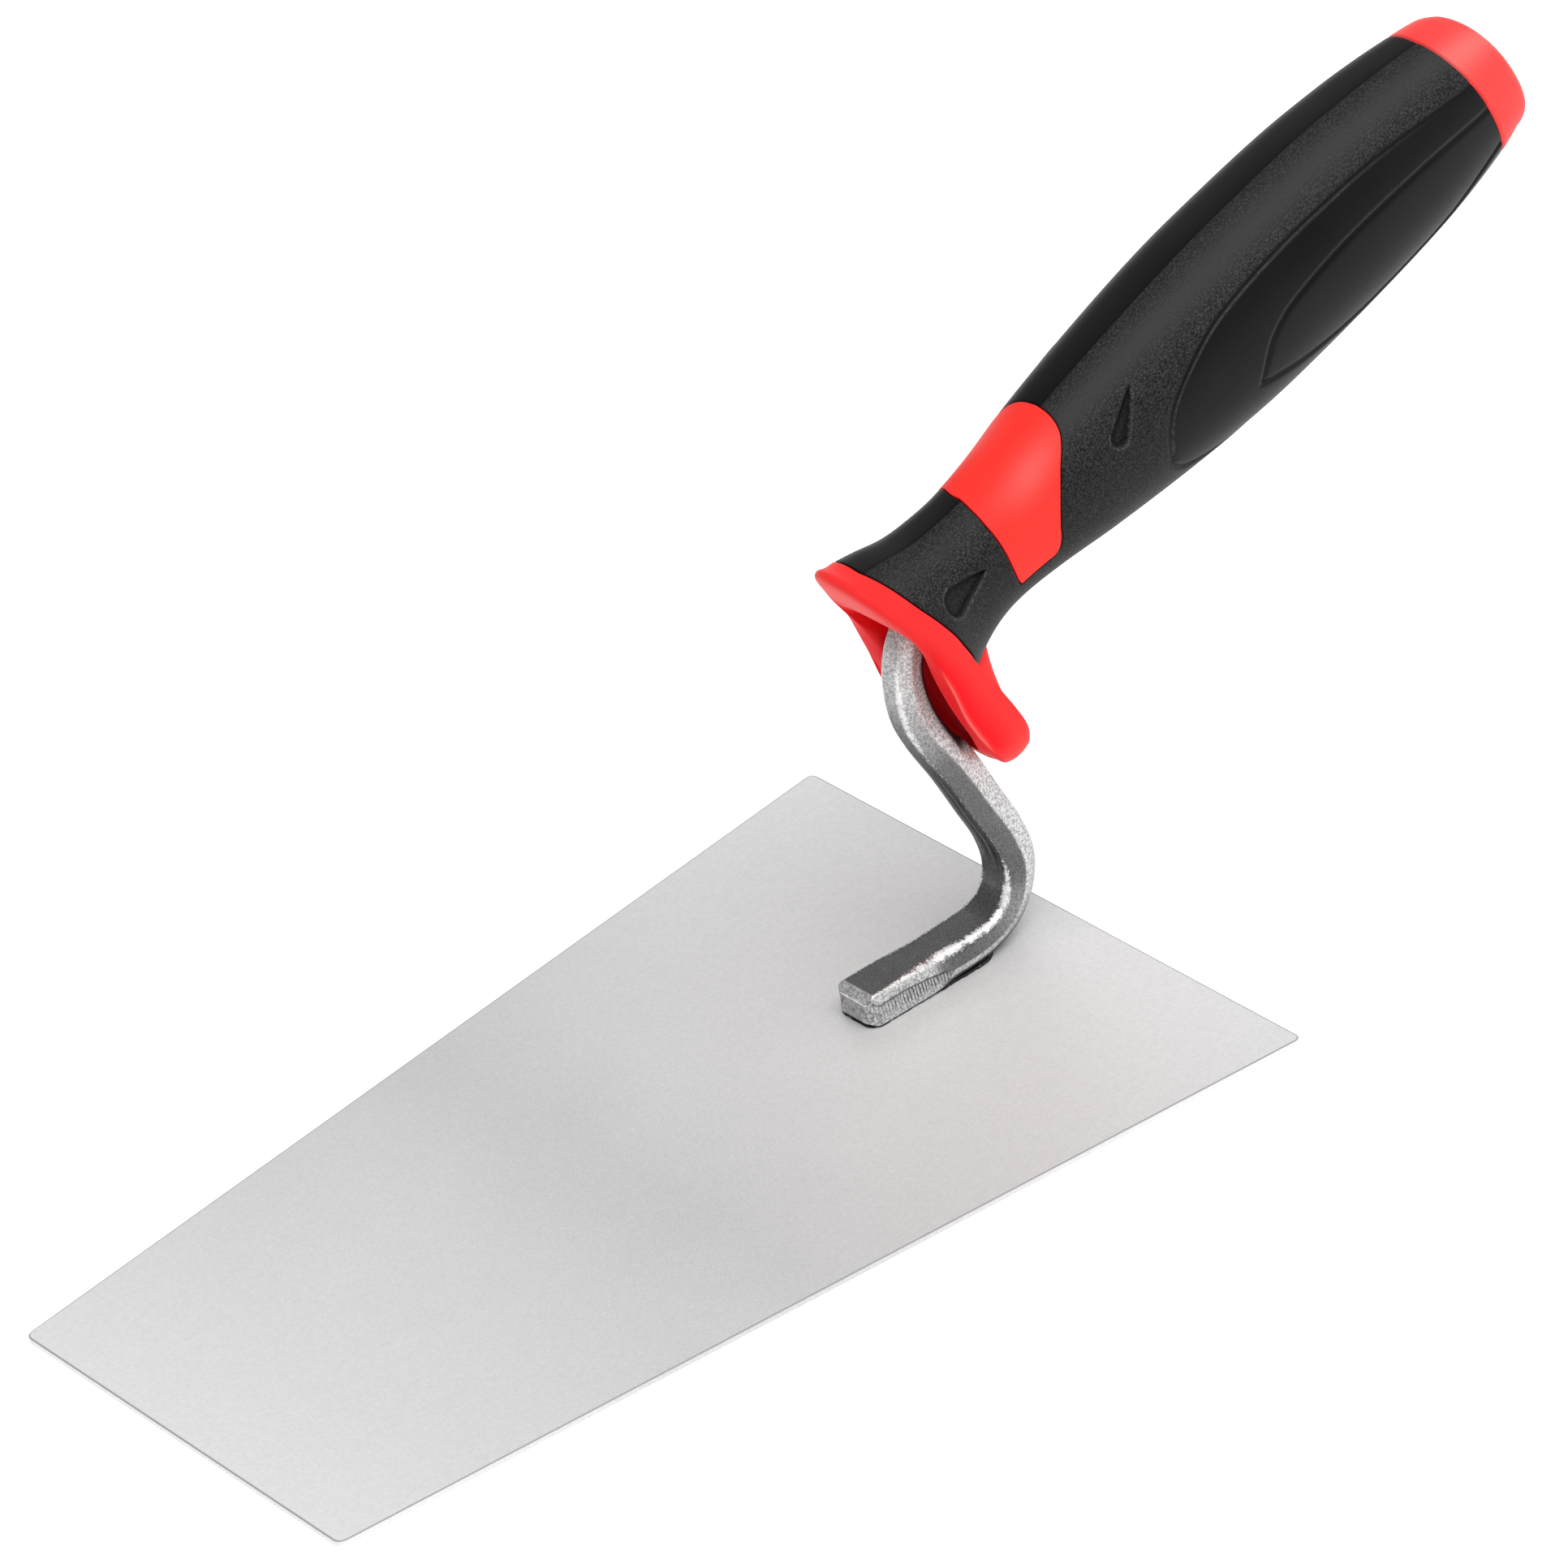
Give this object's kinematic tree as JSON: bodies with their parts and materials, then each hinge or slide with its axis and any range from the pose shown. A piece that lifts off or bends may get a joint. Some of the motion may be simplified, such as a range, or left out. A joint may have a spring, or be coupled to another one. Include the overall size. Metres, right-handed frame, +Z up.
{
  "type": "brick trowel",
  "caption": "Hand trowel with a flat trapezoid steel blade, a forged swan neck and a soft oval grip with a finger guard.",
  "frame": {"origin": "on the underside of the blade, below the middle of the foot of the neck", "axes": "+X along the blade from its wide heel to its narrow toe, +Y across the blade, +Z up from the blade to the grip"},
  "size_m": [0.2782, 0.1122, 0.1099],
  "materials": {
    "blade_steel": "satin rolled steel with a fine grain",
    "weld": "dull, heat-blackened",
    "neck_zinc": "zinc-coated forging, grainy, brighter on its edges",
    "red_plastic": "smooth matt moulding",
    "black_grip": "soft matt rubber, spark-eroded grain with smooth panels"
  },
  "bodies": {
    "root": {"blade": "blade_steel", "weld_layer": "weld", "neck_shank": "neck_zinc", "finger_guard": "red_plastic", "handle_core": "red_plastic", "grip_sleeve": "black_grip", "end_cap": "red_plastic"}
  },
  "joints": []
}
